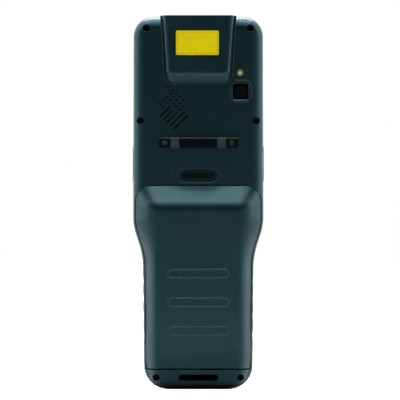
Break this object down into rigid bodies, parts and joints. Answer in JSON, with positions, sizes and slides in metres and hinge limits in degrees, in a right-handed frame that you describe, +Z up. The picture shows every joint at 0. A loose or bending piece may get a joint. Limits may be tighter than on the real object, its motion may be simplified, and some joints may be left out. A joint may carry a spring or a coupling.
{
  "type": "portable barcode data terminal",
  "caption": "Handheld barcode data terminal with a flared head, narrow grip, tilting battery lid, sliding latch, strap bar and keypad.",
  "frame": {"origin": "centre of the bottom of the bounding box, on the flat foot", "axes": "+Z up the terminal's length to the scan window, -Y out of the screen and keys, +Y out of the back, X across"},
  "size_m": [0.0708, 0.028, 0.2012],
  "materials": {
    "front_plastic": "moulded, fine grain",
    "rear_plastic": "moulded, fine grain",
    "cover_plastic": "moulded, fine grain",
    "foot_plastic": "satin",
    "bridge_plastic": "satin",
    "black_rubber": "matt",
    "orange_key": "satin",
    "grey_key": "satin",
    "screen_glass": "polished",
    "display": "dark panel",
    "steel_mesh": "fine woven",
    "light_lens": "frosted",
    "circuit_board": "solder mask",
    "shield_metal": "tin plated",
    "scan_glass": "tinted",
    "module_plastic": "moulded",
    "label_yellow": "printed film",
    "camera_glass": "polished",
    "flash_plastic": "clear",
    "screw_steel": "blackened",
    "contact_metal": "gold plated",
    "cell_wrap": "shrink film"
  },
  "bodies": {
    "housing": {"front_housing": "front_plastic", "rear_housing": "rear_plastic", "housing_seal": "black_rubber", "base_cap": "foot_plastic", "dock_contacts": "contact_metal", "touch_glass": "screen_glass", "display_module": "display", "earpiece_mesh": "steel_mesh", "status_light": "light_lens", "main_board": "circuit_board", "board_shields": "shield_metal", "keypad_mat": "black_rubber", "keypad_board": "circuit_board", "scanner_cover": "rear_plastic", "scan_window": "scan_glass", "scan_engine": "module_plastic", "label_plate": "label_yellow", "camera_bezel": "rear_plastic", "camera_window": "camera_glass", "camera_module": "module_plastic", "flash_lens": "flash_plastic", "speaker_mesh": "steel_mesh", "speaker_driver": "module_plastic", "strap_bridge": "bridge_plastic", "strap_screws": "screw_steel", "housing_screws": "screw_steel", "battery_contacts": "contact_metal", "bay_seal": "black_rubber", "side_switches": "module_plastic"},
    "battery_pack": {"battery_cover": "cover_plastic", "battery_tray": "module_plastic", "battery_cells": "cell_wrap", "battery_pads": "contact_metal"},
    "latch": {"latch_knob": "bridge_plastic", "latch_bolt": "screw_steel"},
    "side_key_left": {"side_key_left": "orange_key"},
    "side_key_right": {"side_key_right": "orange_key"},
    "scan_key_front": {"scan_key_front": "orange_key"},
    "soft_key_left": {"soft_key_left": "grey_key"},
    "soft_key_right": {"soft_key_right": "grey_key"},
    "key_row1_col1": {"key_row1_col1": "grey_key"},
    "key_row1_col2": {"key_row1_col2": "grey_key"},
    "key_row1_col3": {"key_row1_col3": "grey_key"},
    "key_row1_col4": {"key_row1_col4": "grey_key"},
    "key_row2_col1": {"key_row2_col1": "grey_key"},
    "key_row2_col2": {"key_row2_col2": "grey_key"},
    "key_row2_col3": {"key_row2_col3": "grey_key"},
    "key_row2_col4": {"key_row2_col4": "grey_key"},
    "key_row3_col1": {"key_row3_col1": "grey_key"},
    "key_row3_col2": {"key_row3_col2": "grey_key"},
    "key_row3_col3": {"key_row3_col3": "grey_key"},
    "key_row3_col4": {"key_row3_col4": "grey_key"},
    "key_row4_col1": {"key_row4_col1": "grey_key"},
    "key_row4_col2": {"key_row4_col2": "grey_key"},
    "key_row4_col3": {"key_row4_col3": "grey_key"},
    "key_row4_col4": {"key_row4_col4": "grey_key"},
    "key_row5_col1": {"key_row5_col1": "grey_key"},
    "key_row5_col2": {"key_row5_col2": "grey_key"},
    "key_row5_col3": {"key_row5_col3": "grey_key"},
    "key_row5_col4": {"key_row5_col4": "grey_key"}
  },
  "joints": [
    {"name": "battery_tilt", "type": "hinge", "parent": "housing", "child": "battery_pack", "pos_m": [0, 0.01069, 0.0117], "axis": [-1, 0, 0], "range_deg": [0, 30]},
    {"name": "battery_latch_slide", "type": "slide", "parent": "housing", "child": "latch", "axis": [-1, 0, 0], "range_m": [0, 0.0015]},
    {"name": "side_key_left_press", "type": "slide", "parent": "housing", "child": "side_key_left", "axis": [1, 0, 0], "range_m": [0, 0.0006], "stiffness_N_per_m": 500},
    {"name": "side_key_right_press", "type": "slide", "parent": "housing", "child": "side_key_right", "axis": [-1, 0, 0], "range_m": [0, 0.0006], "stiffness_N_per_m": 500},
    {"name": "scan_key_front_press", "type": "slide", "parent": "housing", "child": "scan_key_front", "axis": [0, 1, 0], "range_m": [0, 0.0008], "stiffness_N_per_m": 400},
    {"name": "soft_key_left_press", "type": "slide", "parent": "housing", "child": "soft_key_left", "axis": [0, 1, 0], "range_m": [0, 0.0008], "stiffness_N_per_m": 400},
    {"name": "soft_key_right_press", "type": "slide", "parent": "housing", "child": "soft_key_right", "axis": [0, 1, 0], "range_m": [0, 0.0008], "stiffness_N_per_m": 400},
    {"name": "key_row1_col1_press", "type": "slide", "parent": "housing", "child": "key_row1_col1", "axis": [0, 1, 0], "range_m": [0, 0.0008], "stiffness_N_per_m": 400},
    {"name": "key_row1_col2_press", "type": "slide", "parent": "housing", "child": "key_row1_col2", "axis": [0, 1, 0], "range_m": [0, 0.0008], "stiffness_N_per_m": 400},
    {"name": "key_row1_col3_press", "type": "slide", "parent": "housing", "child": "key_row1_col3", "axis": [0, 1, 0], "range_m": [0, 0.0008], "stiffness_N_per_m": 400},
    {"name": "key_row1_col4_press", "type": "slide", "parent": "housing", "child": "key_row1_col4", "axis": [0, 1, 0], "range_m": [0, 0.0008], "stiffness_N_per_m": 400},
    {"name": "key_row2_col1_press", "type": "slide", "parent": "housing", "child": "key_row2_col1", "axis": [0, 1, 0], "range_m": [0, 0.0008], "stiffness_N_per_m": 400},
    {"name": "key_row2_col2_press", "type": "slide", "parent": "housing", "child": "key_row2_col2", "axis": [0, 1, 0], "range_m": [0, 0.0008], "stiffness_N_per_m": 400},
    {"name": "key_row2_col3_press", "type": "slide", "parent": "housing", "child": "key_row2_col3", "axis": [0, 1, 0], "range_m": [0, 0.0008], "stiffness_N_per_m": 400},
    {"name": "key_row2_col4_press", "type": "slide", "parent": "housing", "child": "key_row2_col4", "axis": [0, 1, 0], "range_m": [0, 0.0008], "stiffness_N_per_m": 400},
    {"name": "key_row3_col1_press", "type": "slide", "parent": "housing", "child": "key_row3_col1", "axis": [0, 1, 0], "range_m": [0, 0.0008], "stiffness_N_per_m": 400},
    {"name": "key_row3_col2_press", "type": "slide", "parent": "housing", "child": "key_row3_col2", "axis": [0, 1, 0], "range_m": [0, 0.0008], "stiffness_N_per_m": 400},
    {"name": "key_row3_col3_press", "type": "slide", "parent": "housing", "child": "key_row3_col3", "axis": [0, 1, 0], "range_m": [0, 0.0008], "stiffness_N_per_m": 400},
    {"name": "key_row3_col4_press", "type": "slide", "parent": "housing", "child": "key_row3_col4", "axis": [0, 1, 0], "range_m": [0, 0.0008], "stiffness_N_per_m": 400},
    {"name": "key_row4_col1_press", "type": "slide", "parent": "housing", "child": "key_row4_col1", "axis": [0, 1, 0], "range_m": [0, 0.0008], "stiffness_N_per_m": 400},
    {"name": "key_row4_col2_press", "type": "slide", "parent": "housing", "child": "key_row4_col2", "axis": [0, 1, 0], "range_m": [0, 0.0008], "stiffness_N_per_m": 400},
    {"name": "key_row4_col3_press", "type": "slide", "parent": "housing", "child": "key_row4_col3", "axis": [0, 1, 0], "range_m": [0, 0.0008], "stiffness_N_per_m": 400},
    {"name": "key_row4_col4_press", "type": "slide", "parent": "housing", "child": "key_row4_col4", "axis": [0, 1, 0], "range_m": [0, 0.0008], "stiffness_N_per_m": 400},
    {"name": "key_row5_col1_press", "type": "slide", "parent": "housing", "child": "key_row5_col1", "axis": [0, 1, 0], "range_m": [0, 0.0008], "stiffness_N_per_m": 400},
    {"name": "key_row5_col2_press", "type": "slide", "parent": "housing", "child": "key_row5_col2", "axis": [0, 1, 0], "range_m": [0, 0.0008], "stiffness_N_per_m": 400},
    {"name": "key_row5_col3_press", "type": "slide", "parent": "housing", "child": "key_row5_col3", "axis": [0, 1, 0], "range_m": [0, 0.0008], "stiffness_N_per_m": 400},
    {"name": "key_row5_col4_press", "type": "slide", "parent": "housing", "child": "key_row5_col4", "axis": [0, 1, 0], "range_m": [0, 0.0008], "stiffness_N_per_m": 400}
  ]
}
